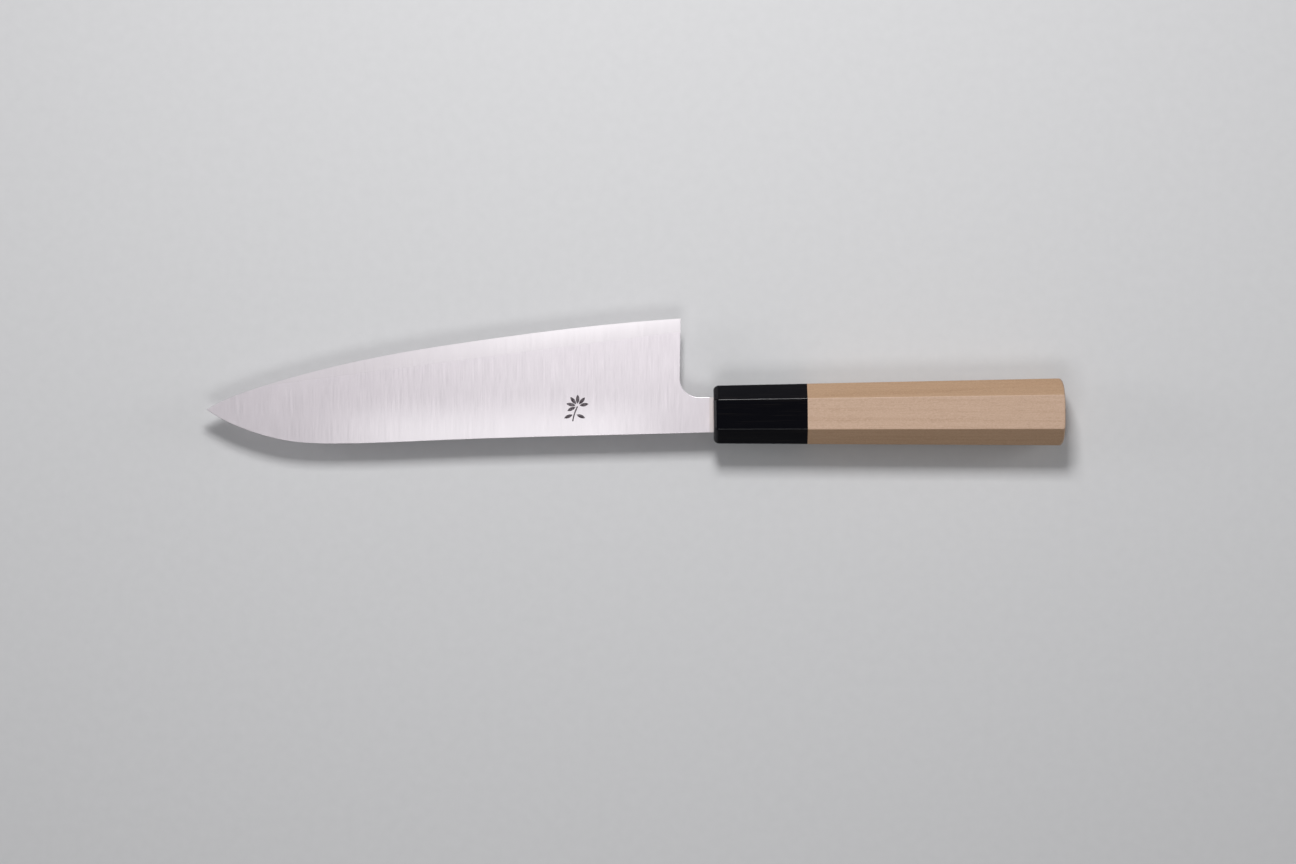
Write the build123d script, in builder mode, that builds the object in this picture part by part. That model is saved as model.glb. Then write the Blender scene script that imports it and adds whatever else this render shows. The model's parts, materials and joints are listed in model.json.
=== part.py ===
from build123d import *
import os

os.makedirs("parts", exist_ok=True)

# Japanese chef knife (gyuto) with an octagonal wooden handle, lying on its left side.
# Row frame: +X from tip to butt, +Y toward the cutting edge, +Z up through the blade's thickness.
# The row origin is the bottom centre of the knife's bounding box.
# Sketches use the knife's own coordinates: x = 0 at the ferrule's front face, y = 0 on the
# handle's centre line and z = 0 in the middle of the blade's thickness.

# ---- where the knife's own origin sits in the row frame ----
ferrule_face_x = 29.8
handle_axis_y = -11.95
blade_mid_z = 10.3
knife = Plane(origin=(ferrule_face_x, handle_axis_y, blade_mid_z))
knife_side = Plane(origin=knife.origin, x_dir=(1, 0, 0), z_dir=(0, -1, 0))
handle_axis = Axis(knife.origin, (1, 0, 0))

# ---- blade outline, in knife coordinates ----
tip = (-192.4, 3.5)
heel = (-12.1, 36.6)
edge_points = [
    heel,
    (-48.5, 33.7),
    (-88.5, 28.9),
    (-122.7, 23.7),
    (-151.0, 17.7),
    (-174.0, 11.2),
    (-185.5, 7.0),
    tip,
]
spine_points = [
    tip,
    (-185.5, -0.8),
    (-174.0, -5.5),
    (-163.0, -8.4),
    (-151.5, -9.65),
    (-140.0, -9.85),
    (-100.0, -8.75),
    (-43.0, -7.5),
    (0.0, -6.7),
]
neck_top_y = 6.62
choil_corner = (-12.95, neck_top_y)
choil_radius = 7.3

# ---- blade thickness: the flat sides lean in toward the edge and toward the tip ----
spine_half_thickness = 1.4
spine_datum_y = -9.9
taper_to_tip = 0.0042
taper_to_edge = 0.0242
back_edge_rounding = 0.15
blank_half_height = 4.0

# ---- ground bevel: distance in from the cutting edge, height above the middle plane.
# Its slope eases off until it runs into the flat side without a ridge. ----
edge_half_thickness = 0.02
micro_bevel = (0.4, 0.1)
bevel_middle = (3.4, 0.242)
bevel_shoulder = (6.4, 0.339)
bevel_run_out = (16.0, 0.665)
grinding_margin = 4.0

# ---- three-layer steel: core between two claddings ----
core_half_thickness = 0.36
core_taper = 0.00125

# ---- shallow step on the neck just before the ferrule ----
neck_step_length = 1.5
neck_step_depth = 0.12

# ---- tang ----
tang_length = 98.0
tang_height_front = 10.5
tang_height_back = 5.0
tang_thickness_front = 1.95
tang_thickness_back = 1.5

# ---- resin seal round the tang at the mouth of the handle ----
seal_depth = 2.5
seal_wall = 0.5

# ---- chiselled bamboo sprig on the right side of the blade ----
sprig_centre = (-52.0, 3.1)
sprig_depth = 0.13
stem_width = 0.5
stem_foot = (-1.4, -5.0)
stem_bend = (-0.7, -2.2)
stem_head = (0.3, 0.2)
leaf_width = 1.3
leaf_length = 3.5
leaf_gap = 0.8
leaf_belly_share = 0.45
upper_leaves = ((0.4, 0.6), (10, 48, 88, 128, 168, 206))
lower_leaves = ((-0.7, -2.4), (-22, 202))

# ---- handle ----
handle_length = 132.8
ferrule_length = 35.5
tenon_radius = 6.5
handle_height_front = 22.0
handle_height_back = 25.4
handle_thickness_front = 18.2
handle_thickness_back = 20.6
facet_leg_front = 5.35
facet_leg_back = 6.25
long_edge_rounding = 0.7
front_rim_rounding = 2.0
butt_flat_radius = 10.3
butt_shoulder_radius = 3.0
butt_rim_rounding = 0.6
envelope_radius = 16.0


def side_plane(half_thickness, lean_to_tip, lean_to_edge, side):
    """Flat plane along the blade; side is +1 for the right face and -1 for the left."""
    return Plane(
        origin=knife.from_local_coords((0, spine_datum_y, side * half_thickness)),
        x_dir=(1, 0, side * lean_to_tip),
        z_dir=(-side * lean_to_tip, side * lean_to_edge, 1),
    )


def across(distance):
    """Plane square to the handle's axis: local x runs along +Y and local y along +Z."""
    return Plane(
        origin=knife.from_local_coords((distance, 0, 0)),
        x_dir=(0, 1, 0),
        z_dir=(1, 0, 0),
    )


def outward_plane(front, back, across_facet):
    """Plane through two points of a handle facet, with its normal away from the handle's axis."""
    normal = (back - front).cross(across_facet)
    if normal.dot(Vector(0, front.Y, front.Z)) < 0:
        normal = -normal
    return Plane(origin=knife.from_local_coords(front), z_dir=normal)


def facet_planes():
    """The eight planes of the tapered octagon, each facing outward."""
    high_front = handle_height_front / 2
    high_back = handle_height_back / 2
    thick_front = handle_thickness_front / 2
    thick_back = handle_thickness_back / 2
    planes = []
    for y_side, z_side in ((1, 1), (1, -1), (-1, 1), (-1, -1)):
        front = Vector(0, y_side * (high_front - facet_leg_front), z_side * thick_front)
        back = Vector(handle_length, y_side * (high_back - facet_leg_back), z_side * thick_back)
        across_facet = Vector(0, y_side, -z_side)
        planes.append(outward_plane(front, back, across_facet))
    for side in (1, -1):
        planes.append(
            outward_plane(
                Vector(0, side * high_front, 0),
                Vector(handle_length, side * high_back, 0),
                Vector(0, 0, 1),
            )
        )
        planes.append(
            outward_plane(
                Vector(0, 0, side * thick_front),
                Vector(handle_length, 0, side * thick_back),
                Vector(0, 1, 0),
            )
        )
    return planes


right_face = side_plane(spine_half_thickness, taper_to_tip, taper_to_edge, 1)
left_face = side_plane(spine_half_thickness, taper_to_tip, taper_to_edge, -1)
right_seam = side_plane(core_half_thickness, core_taper, 0, 1)
left_seam = side_plane(core_half_thickness, core_taper, 0, -1)

# ================= bevel cutter for the right side =================
# The edge line runs straight on past the heel and the tip so the cutter clears both ends.
with BuildLine(knife) as edge_path:
    edge_curve = Spline(*edge_points)
    run_in = edge_curve @ 0 - edge_curve % 0 * grinding_margin
    run_out = edge_curve @ 1 + edge_curve % 1 * grinding_margin
    Line(run_in, edge_curve @ 0)
    Line(edge_curve @ 1, run_out)

toward_spine = Vector(0, 0, 1).cross(edge_curve % 0)
cutter_plane = Plane(origin=run_in, x_dir=toward_spine, z_dir=edge_curve % 0)

with BuildPart() as bevel_cutter:
    with BuildSketch(cutter_plane):
        with BuildLine():
            Line((-grinding_margin, edge_half_thickness), (0, edge_half_thickness))
            Line((0, edge_half_thickness), micro_bevel)
            ThreePointArc(micro_bevel, bevel_middle, bevel_shoulder)
            Line(bevel_shoulder, bevel_run_out)
            Line(bevel_run_out, (bevel_run_out[0], blank_half_height))
            Line((bevel_run_out[0], blank_half_height), (-grinding_margin, blank_half_height))
            Line((-grinding_margin, blank_half_height), (-grinding_margin, edge_half_thickness))
        make_face()
    sweep(path=edge_path.wire())

# ================= tang =================
with BuildPart() as tang:
    with BuildSketch(across(0)):
        Rectangle(tang_height_front, tang_thickness_front)
    with BuildSketch(across(tang_length)):
        Rectangle(tang_height_back, tang_thickness_back)
    loft(ruled=True)

# ================= whole steel blank: blade, neck and tang =================
with BuildPart() as steel_blank:
    with BuildSketch(knife.offset(-blank_half_height)) as outline:
        with BuildLine():
            Spline(*edge_points)
            Spline(*spine_points)
            Line(spine_points[-1], (0, neck_top_y))
            Line((0, neck_top_y), choil_corner)
            Line(choil_corner, heel)
        make_face()
        fillet(outline.vertices().sort_by_distance(choil_corner)[0], radius=choil_radius)
    extrude(amount=2 * blank_half_height)
    split(bisect_by=right_face, keep=Keep.BOTTOM)
    split(bisect_by=left_face, keep=Keep.TOP)

    # Round the spine, the choil and the back of the heel; the cutting edge stays sharp.
    upright = steel_blank.edges().filter_by(Axis.Z)
    square_end = steel_blank.edges().filter_by_position(
        Axis.X, ferrule_face_x - 0.01, ferrule_face_x + 0.01
    )
    rim = steel_blank.edges() - upright - square_end
    cutting_edges = rim.sort_by_distance(edge_curve @ 0.5)[:2]
    fillet(rim - cutting_edges, radius=back_edge_rounding)

    # Grind both sides down to the edge.
    add(bevel_cutter.part, mode=Mode.SUBTRACT)
    mirror(bevel_cutter.part, about=knife, mode=Mode.SUBTRACT)

    # Step both faces of the neck in, just before the ferrule.
    for face_plane, outward in ((right_face, 1), (left_face, -1)):
        with BuildSketch(face_plane.offset(-outward * neck_step_depth)):
            with Locations((-neck_step_length / 2, -spine_datum_y)):
                Rectangle(neck_step_length, 2 * tenon_radius + 2)
        extrude(amount=outward * blank_half_height, mode=Mode.SUBTRACT)

    add(tang.part)

# ================= bamboo sprig cutter =================
# Each leaf is a separate pointed stroke that starts a little way out from its node.
leaf_tip = leaf_gap + leaf_length
leaf_belly = leaf_gap + leaf_belly_share * leaf_length
with BuildSketch() as leaf:
    with BuildLine():
        ThreePointArc((leaf_gap, 0), (leaf_belly, leaf_width / 2), (leaf_tip, 0))
        ThreePointArc((leaf_tip, 0), (leaf_belly, -leaf_width / 2), (leaf_gap, 0))
    make_face()

sprig_x, sprig_y = sprig_centre
sprig_height = right_face.origin.Z + taper_to_tip * sprig_x - taper_to_edge * (sprig_y - spine_datum_y)
sprig_plane = Plane(
    origin=(ferrule_face_x + sprig_x, handle_axis_y + sprig_y, sprig_height),
    x_dir=right_face.x_dir,
    z_dir=right_face.z_dir,
)

stem = ThreePointArc(stem_foot, stem_bend, stem_head)

with BuildPart() as sprig_cutter:
    with BuildSketch(sprig_plane.offset(-sprig_depth)):
        SlotArc(stem, stem_width)
        for (node_x, node_y), angles in (upper_leaves, lower_leaves):
            for angle in angles:
                with Locations(Location((node_x, node_y, 0), (0, 0, angle))):
                    add(leaf.sketch)
    extrude(amount=1)

# ================= the three steel layers =================
with BuildPart() as core_steel:
    add(steel_blank.part)
    split(bisect_by=right_seam, keep=Keep.BOTTOM)
    split(bisect_by=left_seam, keep=Keep.TOP)
    core_steel.part.label = "core_steel"

with BuildPart() as cladding_right:
    add(steel_blank.part)
    split(bisect_by=right_seam, keep=Keep.TOP)
    add(sprig_cutter.part, mode=Mode.SUBTRACT)
    cladding_right.part.label = "cladding_right"

with BuildPart() as cladding_left:
    add(steel_blank.part)
    split(bisect_by=left_seam, keep=Keep.BOTTOM)
    cladding_left.part.label = "cladding_left"

# ================= whole handle blank: tapered octagon with domed ends =================
with BuildPart() as handle_blank:
    with BuildSketch(across(0)):
        Rectangle(2 * envelope_radius, 2 * envelope_radius)
    extrude(amount=handle_length)
    for facet in facet_planes():
        split(bisect_by=facet, keep=Keep.BOTTOM)
    long_edges = handle_blank.edges().filter_by(lambda edge: edge.length > ferrule_length)
    fillet(long_edges, radius=long_edge_rounding)

    front_end = handle_blank.faces().sort_by(Axis.X)[0]
    fillet(front_end.edges(), radius=front_rim_rounding)

    # Round the butt toward its corners, so each facet ends in a shallow scallop, then soften the rim.
    shoulder_x = handle_length - butt_shoulder_radius
    with BuildSketch(knife_side):
        with BuildLine():
            shoulder = CenterArc((shoulder_x, butt_flat_radius), butt_shoulder_radius, 90, -90)
            Line(shoulder @ 0, (shoulder_x, envelope_radius))
            Line((shoulder_x, envelope_radius), (0, envelope_radius))
            Line((0, envelope_radius), (0, 0))
            Line((0, 0), (handle_length, 0))
            Line((handle_length, 0), shoulder @ 1)
        make_face()
    revolve(axis=handle_axis, mode=Mode.INTERSECT)
    shoulder_edges = handle_blank.faces().filter_by(GeomType.TORUS).sort_by(Axis.X)[-1].edges()
    fillet(shoulder_edges.filter_by(GeomType.CIRCLE, reverse=True), radius=butt_rim_rounding)

# ================= ferrule: front length of the blank with a through bore =================
with BuildPart() as ferrule:
    add(handle_blank.part)
    split(bisect_by=across(ferrule_length), keep=Keep.BOTTOM)
    with BuildSketch(across(0)):
        Circle(tenon_radius)
    extrude(amount=ferrule_length, mode=Mode.SUBTRACT)
    ferrule.part.label = "ferrule"

# ================= resin seal: short sleeve round the tang, flush with the mouth =================
with BuildPart() as mouth_seal:
    with BuildSketch(across(0)):
        Rectangle(tang_height_front + 2 * seal_wall, tang_thickness_front + 2 * seal_wall)
    extrude(amount=seal_depth)
    add(tang.part, mode=Mode.SUBTRACT)
    mouth_seal.part.label = "mouth_seal"

# ================= handle body: rest of the blank, tenon through the ferrule, tang socket ======
with BuildPart() as handle_body:
    add(handle_blank.part)
    split(bisect_by=across(ferrule_length), keep=Keep.TOP)
    with BuildSketch(across(0)):
        Circle(tenon_radius)
    extrude(amount=ferrule_length)
    add(tang.part, mode=Mode.SUBTRACT)
    add(mouth_seal.part, mode=Mode.SUBTRACT)
    handle_body.part.label = "handle_body"

export_step(core_steel.part, "parts/core_steel.step")
export_step(cladding_right.part, "parts/cladding_right.step")
export_step(cladding_left.part, "parts/cladding_left.step")
export_step(ferrule.part, "parts/ferrule.step")
export_step(handle_body.part, "parts/handle_body.step")
export_step(mouth_seal.part, "parts/mouth_seal.step")
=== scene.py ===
import json
from math import radians

import bpy
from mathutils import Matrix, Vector


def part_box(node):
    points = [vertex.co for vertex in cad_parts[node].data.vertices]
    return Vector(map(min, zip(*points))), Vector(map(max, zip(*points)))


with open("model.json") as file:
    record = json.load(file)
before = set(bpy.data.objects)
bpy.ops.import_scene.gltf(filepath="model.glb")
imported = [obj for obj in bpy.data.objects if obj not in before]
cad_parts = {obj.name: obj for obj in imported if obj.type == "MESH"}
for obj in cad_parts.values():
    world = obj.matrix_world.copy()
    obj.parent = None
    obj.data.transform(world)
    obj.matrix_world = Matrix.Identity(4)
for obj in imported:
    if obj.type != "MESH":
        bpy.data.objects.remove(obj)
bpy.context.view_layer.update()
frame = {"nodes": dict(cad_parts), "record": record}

# The knife lies on its left side: +X runs from tip to butt, +Y toward the cutting edge, +Z up.
nodes = frame["nodes"]

ferrule_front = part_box("ferrule")[0].x
blade_low, blade_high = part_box("core_steel")
blade_middle_z = (blade_low.z + blade_high.z) / 2
handle_low, handle_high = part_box("handle_body")
handle_axis_y = (handle_low.y + handle_high.y) / 2

ALONG = (1, 0, 0)
ACROSS = (0, 1, 0)
UPWARD = (0, 0, 1)

# The sprig's centre, measured from the ferrule's front and from the handle's axis.
sprig_before_ferrule = 0.052
sprig_from_axis = 0.0031
sprig_reach = 0.008
neck_step = 0.0015


# ---------------------------------------------------------------- material building blocks
class Look:
    """A node material with one Principled shader and short names for the nodes used here."""

    def __init__(self, name):
        self.material = bpy.data.materials.new(name)
        self.material.use_nodes = True
        self.tree = self.material.node_tree
        self.shader = self.tree.nodes["Principled BSDF"]
        self.place = self.tree.nodes.new("ShaderNodeTexCoord").outputs["Object"]

    def node(self, kind, **settings):
        made = self.tree.nodes.new("ShaderNode" + kind)
        for key, value in settings.items():
            setattr(made, key, value)
        return made

    def feed(self, socket, value):
        """Links another node's output into a socket, or sets the socket's own value."""
        if isinstance(value, bpy.types.NodeSocket):
            self.tree.links.new(value, socket)
        else:
            socket.default_value = value

    def math(self, operation, first, second=0.0, clamp=False):
        made = self.node("Math", operation=operation, use_clamp=clamp)
        self.feed(made.inputs[0], first)
        self.feed(made.inputs[1], second)
        return made.outputs[0]

    def vector(self, operation, first, second=(0, 0, 0)):
        made = self.node("VectorMath", operation=operation)
        self.feed(made.inputs[0], first)
        self.feed(made.inputs[1], second)
        return made.outputs["Value" if operation in ("DOT_PRODUCT", "LENGTH") else "Vector"]

    def coordinate(self, axis):
        """The point's distance along an axis, in the object's own metres."""
        return self.vector("DOT_PRODUCT", self.place, axis)

    def noise(self, cell, detail=2.0, roughness=0.5, place=None):
        """Noise from 0 to 1 whose blobs are about cell = (x, y, z) metres in size."""
        scaled = self.vector("MULTIPLY", place or self.place, tuple(1 / size for size in cell))
        made = self.node("TexNoise")
        self.feed(made.inputs["Vector"], scaled)
        self.feed(made.inputs["Scale"], 1.0)
        self.feed(made.inputs["Detail"], detail)
        self.feed(made.inputs["Roughness"], roughness)
        return made.outputs["Fac"]

    def ramp(self, value, low, high, out_low=0.0, out_high=1.0, smooth=True):
        """Maps low..high to out_low..out_high and holds the ends."""
        made = self.node("MapRange", interpolation_type="SMOOTHSTEP" if smooth else "LINEAR")
        for name, number in (
            ("Value", value),
            ("From Min", low),
            ("From Max", high),
            ("To Min", out_low),
            ("To Max", out_high),
        ):
            self.feed(made.inputs[name], number)
        return made.outputs["Result"]

    def blend(self, share, first, second, kind="MIX"):
        """Mixes two colours; share 0 gives the first and 1 the second."""
        made = self.node("Mix", data_type="RGBA", blend_type=kind)
        self.feed(made.inputs["Factor"], share)
        self.feed(made.inputs["A"], first)
        self.feed(made.inputs["B"], second)
        return made.outputs["Result"]

    def bump(self, height, depth):
        """Surface relief: height runs from 0 to 1 and depth is its size in metres."""
        made = self.node("Bump")
        self.feed(made.inputs["Height"], height)
        self.feed(made.inputs["Distance"], depth)
        self.tree.links.new(made.outputs["Normal"], self.shader.inputs["Normal"])

    def set(self, **values):
        for name, value in values.items():
            self.feed(self.shader.inputs[name.replace("_", " ")], value)


def wear(node, look):
    """Gives a CAD node the look in place of the plain material it was packed with."""
    piece = nodes[node]
    for slot in piece.material_slots:
        slot.material = look.material


# ---------------------------------------------------------------- steel
def ground_steel(name, pale, dark, roughness, line_width, relief):
    """Steel ground square across the blade, so its hairlines run along Y."""
    look = Look(name)
    hairlines = look.noise((line_width, 0.012, 0.012), detail=3.0, roughness=0.65)
    streaks = look.noise((0.0009, 0.03, 0.03), detail=4.0, roughness=0.7)
    clouds = look.noise((0.04, 0.02, 0.02), detail=2.0)
    streak_share = look.ramp(streaks, 0.3, 0.7, smooth=False)
    cloud_share = look.ramp(clouds, 0.3, 0.7)
    tone = look.math("ADD", look.math("MULTIPLY", streak_share, 0.6), look.math("MULTIPLY", cloud_share, 0.4))
    colour = look.blend(tone, pale, dark)
    # Painted sheen: the metal by the middle of the spine is painted paler, standing in for a reflection, and
    # is a little more matt.
    along_blade = look.coordinate(ALONG)
    across_blade = look.coordinate(ACROSS)
    painted_sheen_near_spine = look.ramp(across_blade, handle_axis_y - 0.007, handle_axis_y + 0.010, 1.0, 0.0)
    past_tip = look.ramp(along_blade, ferrule_front - 0.160, ferrule_front - 0.110)
    before_neck = look.ramp(along_blade, ferrule_front - 0.050, ferrule_front - 0.008, 1.0, 0.0)
    painted_sheen_near_spine = look.math("MULTIPLY", painted_sheen_near_spine, look.math("MULTIPLY", past_tip, before_neck))
    colour = look.blend(look.math("MULTIPLY", painted_sheen_near_spine, 0.7), colour, (0.97, 0.93, 0.96, 1))
    # Painted reflection: the shallow step before the ferrule is painted a little darker and warmer, standing
    # in for the dark ferrule's reflection.
    step_start = ferrule_front - neck_step
    painted_ferrule_reflection = look.ramp(along_blade, step_start - 0.0001, step_start + 0.0001, 0.0, 0.35)
    colour = look.blend(painted_ferrule_reflection, colour, (0.55, 0.50, 0.42, 1))
    hairline_gloss = look.ramp(hairlines, 0.3, 0.7, -0.03, 0.03)
    gloss = look.math("ADD", hairline_gloss, look.ramp(streaks, 0.3, 0.7, -0.01, 0.01))
    gloss = look.math("ADD", gloss, look.math("MULTIPLY", painted_sheen_near_spine, 0.06))
    look.set(Metallic=1.0, Roughness=look.math("ADD", gloss, roughness))
    height = look.math("ADD", look.math("MULTIPLY", hairlines, 0.7), look.math("MULTIPLY", streaks, 0.3))
    look.bump(height, relief)
    return look, colour


def mark_sprig(look, colour):
    """Darkens the chiselled sprig with painted shade: points below the blade's flat face, near the sprig's
    centre.
    """
    flat = next(m for m in frame["record"]["mounts"] if m["name"] == "blade_left_face")
    on_face = Vector(flat["pos_m"])
    outward = Vector(flat["axis"])
    on_face.z = 2 * blade_middle_z - on_face.z
    outward.z = -outward.z
    centre = (ferrule_front - sprig_before_ferrule, handle_axis_y + sprig_from_axis, blade_middle_z)
    depth = look.vector("DOT_PRODUCT", look.vector("SUBTRACT", tuple(on_face), look.place), tuple(outward))
    sunk = look.ramp(depth, 0.00001, 0.00007)
    from_centre = look.vector("LENGTH", look.vector("SUBTRACT", look.place, centre))
    near = look.ramp(from_centre, sprig_reach, sprig_reach + 0.001, 1.0, 0.0)
    # Painted shade in the chiselled strokes, where the cut sits below the flat face.
    painted_sprig_shade = look.math("MULTIPLY", sunk, near)
    mottled = look.ramp(look.noise((0.0004, 0.0004, 0.0004)), 0.35, 0.65, 0.8, 1.0)
    return look.blend(look.math("MULTIPLY", painted_sprig_shade, mottled), colour, (0.05, 0.035, 0.045, 1))


cladding_recipe = {
    "pale": (0.94, 0.88, 0.925, 1),
    "dark": (0.88, 0.82, 0.865, 1),
    "roughness": 0.42,
    "line_width": 0.00011,
    "relief": 0.00002,
}
cladding, cladding_colour = ground_steel("ground_cladding", **cladding_recipe)
cladding.set(Base_Color=cladding_colour)
wear("cladding_left", cladding)

marked, marked_colour = ground_steel("ground_cladding_marked", **cladding_recipe)
marked.set(Base_Color=mark_sprig(marked, marked_colour))
wear("cladding_right", marked)

core, core_colour = ground_steel(
    "ground_core",
    pale=(0.83, 0.78, 0.815, 1),
    dark=(0.79, 0.74, 0.775, 1),
    roughness=0.45,
    line_width=0.00007,
    relief=0.000012,
)
# Painted highlight: the core is painted brighter toward the heel; it is brightest right at the cutting edge,
# partly from its finer polish and partly as painted highlight.
along_blade = core.coordinate(ALONG)
painted_highlight_to_heel = core.ramp(along_blade, ferrule_front - 0.150, ferrule_front - 0.020)
height = core.coordinate(UPWARD)
lift = core.math("ABSOLUTE", core.math("SUBTRACT", height, blade_middle_z))
edge_polish_and_highlight = core.ramp(lift, 0.00008, 0.00034, 1.0, 0.0)
polish_and_highlight_colour = core.blend(edge_polish_and_highlight, (0.83, 0.785, 0.815, 1), (1.0, 0.955, 0.985, 1))
core.set(Base_Color=core.blend(painted_highlight_to_heel, core_colour, polish_and_highlight_colour))
wear("core_steel", core)

# ---------------------------------------------------------------- black horn
horn = Look("polished_horn")
fibres = horn.noise((0.02, 0.0006, 0.0006), detail=4.0, roughness=0.6)
scuffs = horn.noise((0.0015, 0.0003, 0.0003), detail=3.0)
fibre_gloss = horn.ramp(fibres, 0.3, 0.7, -0.015, 0.015)
horn_black = (0.0025, 0.0025, 0.004, 1)
horn_brown = (0.009, 0.0075, 0.0075, 1)
horn.set(
    Base_Color=horn.blend(horn.ramp(fibres, 0.52, 0.75), horn_black, horn_brown),
    Roughness=horn.math("ADD", fibre_gloss, horn.ramp(scuffs, 0.4, 0.7, 0.15, 0.19)),
    IOR=1.5,
    Specular_IOR_Level=0.18,
)
horn.bump(horn.math("ADD", fibres, horn.math("MULTIPLY", scuffs, 0.5)), 0.0000025)
wear("ferrule", horn)

# ---------------------------------------------------------------- ho wood
wood = Look("ho_wood")
# Growth rings run round a pith line that lies well below the handle and nearly along it.
ring_spacing = 0.0017
sway = wood.noise((0.16, 0.05, 0.05), detail=2.0)
drift = wood.math("MULTIPLY", wood.math("SUBTRACT", sway, 0.5), 0.0016)
pith = (0.0, handle_axis_y - 0.045, blade_middle_z - 0.075)
from_pith = wood.vector("MULTIPLY", wood.vector("SUBTRACT", wood.place, pith), (0.004, 1.0, 1.0))
radius = wood.math("ADD", wood.vector("LENGTH", from_pith), drift)
ring = wood.math("FRACT", wood.math("DIVIDE", radius, ring_spacing))
late_wood = wood.math("MULTIPLY", wood.ramp(ring, 0.5, 0.93), wood.ramp(ring, 0.93, 1.0, 1.0, 0.0))
fibre = wood.noise((0.022, 0.00024, 0.00024), detail=5.0, roughness=0.65)
bands = wood.noise((0.2, 0.003, 0.003), detail=2.0)
pores = wood.noise((0.0018, 0.0001, 0.0001), detail=1.0)
pore_mask = wood.ramp(pores, 0.62, 0.74)
speckle = wood.noise((0.0007, 0.0004, 0.0004), detail=3.0, roughness=0.65)

tone = wood.blend(wood.math("MULTIPLY", late_wood, 0.32), (0.530, 0.366, 0.262, 1), (0.422, 0.268, 0.172, 1))
tone = wood.blend(wood.ramp(fibre, 0.38, 0.72, 0.0, 0.6), tone, (0.398, 0.252, 0.162, 1))
tone = wood.blend(wood.ramp(bands, 0.35, 0.7, 0.0, 0.3), tone, (0.582, 0.404, 0.295, 1))
tone = wood.blend(wood.ramp(speckle, 0.38, 0.66, 0.0, 0.5), tone, (0.621, 0.442, 0.335, 1))
tone = wood.blend(wood.math("MULTIPLY", pore_mask, 0.45), tone, (0.27, 0.16, 0.09, 1))
# Painted shade: facets that lean toward either side of the handle are painted browner; the end grain is
# darkest.
normal = wood.node("NewGeometry").outputs["Normal"]
painted_bevel_shade = wood.math("ABSOLUTE", wood.vector("DOT_PRODUCT", normal, ACROSS))
tone = wood.blend(wood.ramp(painted_bevel_shade, 0.25, 0.65), tone, (0.79, 0.73, 0.62, 1), kind="MULTIPLY")
facing = wood.math("ABSOLUTE", wood.vector("DOT_PRODUCT", normal, ALONG))
end_grain = wood.ramp(facing, 0.45, 0.95, 0.0, 0.45)
tone = wood.blend(end_grain, tone, (0.30, 0.185, 0.105, 1))
end_rings = wood.math("MULTIPLY", wood.math("MULTIPLY", late_wood, end_grain), 0.7)
tone = wood.blend(end_rings, tone, (0.20, 0.115, 0.062, 1))
wood.set(Base_Color=tone, Roughness=wood.ramp(fibre, 0.3, 0.7, 0.46, 0.6), IOR=1.5)
wood.bump(
    wood.math("SUBTRACT", wood.math("MULTIPLY", fibre, 0.6), wood.math("MULTIPLY", pore_mask, 0.6)),
    0.00003,
)
wear("handle_body", wood)

# ---------------------------------------------------------------- resin at the handle's mouth
resin = Look("set_resin")
flow = resin.noise((0.0016, 0.0016, 0.0016), detail=3.0)
resin.set(
    Base_Color=resin.blend(flow, (0.030, 0.018, 0.010, 1), (0.085, 0.050, 0.026, 1)),
    Roughness=resin.ramp(flow, 0.3, 0.7, 0.32, 0.5),
)
resin.bump(flow, 0.00006)
wear("mouth_seal", resin)

# ---------------------------------------------------------------- floor, light and camera
bpy.ops.mesh.primitive_plane_add(size=6, location=(0, 0, 0))
floor = bpy.context.object
floor.name = "studio_floor"
paper = Look("pale_paper")
paper_grain = paper.noise((0.004, 0.004, 0.004), detail=4.0)
paper.set(
    Base_Color=paper.blend(paper_grain, (0.60, 0.60, 0.61, 1), (0.64, 0.64, 0.65, 1)),
    Roughness=0.8,
)
floor.data.materials.append(paper.material)

sky = bpy.data.worlds.new("studio_fill")
sky.use_nodes = True
sky.node_tree.nodes["Background"].inputs["Color"].default_value = (0.93, 0.95, 1.0, 1)
sky.node_tree.nodes["Background"].inputs["Strength"].default_value = 0.08
bpy.context.scene.world = sky


def softbox(name, place, target, width, depth, power):
    """A rectangular area light aimed at a point."""
    light = bpy.data.lights.new(name, "AREA")
    light.shape = "RECTANGLE"
    light.size = width
    light.size_y = depth
    light.energy = power
    lamp = bpy.data.objects.new(name, light)
    lamp.location = place
    lamp.rotation_euler = (Vector(target) - Vector(place)).to_track_quat("-Z", "Y").to_euler()
    bpy.context.scene.collection.objects.link(lamp)


knife_centre = (0, handle_axis_y, blade_middle_z)
softbox("overhead_softbox", (0.0, 0.44, 0.62), knife_centre, 0.2, 0.2, 4.4)
softbox("spine_softbox", (-0.03, -0.36, 0.70), knife_centre, 0.35, 0.25, 1.2)
softbox("tip_softbox", (-0.85, 0.1, 0.3), knife_centre, 0.3, 0.3, 1.5)
softbox("butt_softbox", (0.85, 0.1, 0.3), knife_centre, 0.3, 0.3, 1.5)

camera_data = bpy.data.cameras.new("photo_camera")
camera_data.lens = 120
camera_data.sensor_width = 36
camera = bpy.data.objects.new("photo_camera", camera_data)
frame_width = 0.4922
camera_roll = radians(-0.45)
camera_height = frame_width * camera_data.lens / camera_data.sensor_width
frame_centre = Vector((ferrule_front - 0.0249, handle_axis_y - 0.0064, blade_middle_z))
camera.location = frame_centre + Vector((0, 0, camera_height))
camera.rotation_euler = (0, 0, camera_roll)
bpy.context.scene.collection.objects.link(camera)
bpy.context.scene.camera = camera
bpy.context.scene.view_settings.view_transform = "Standard"
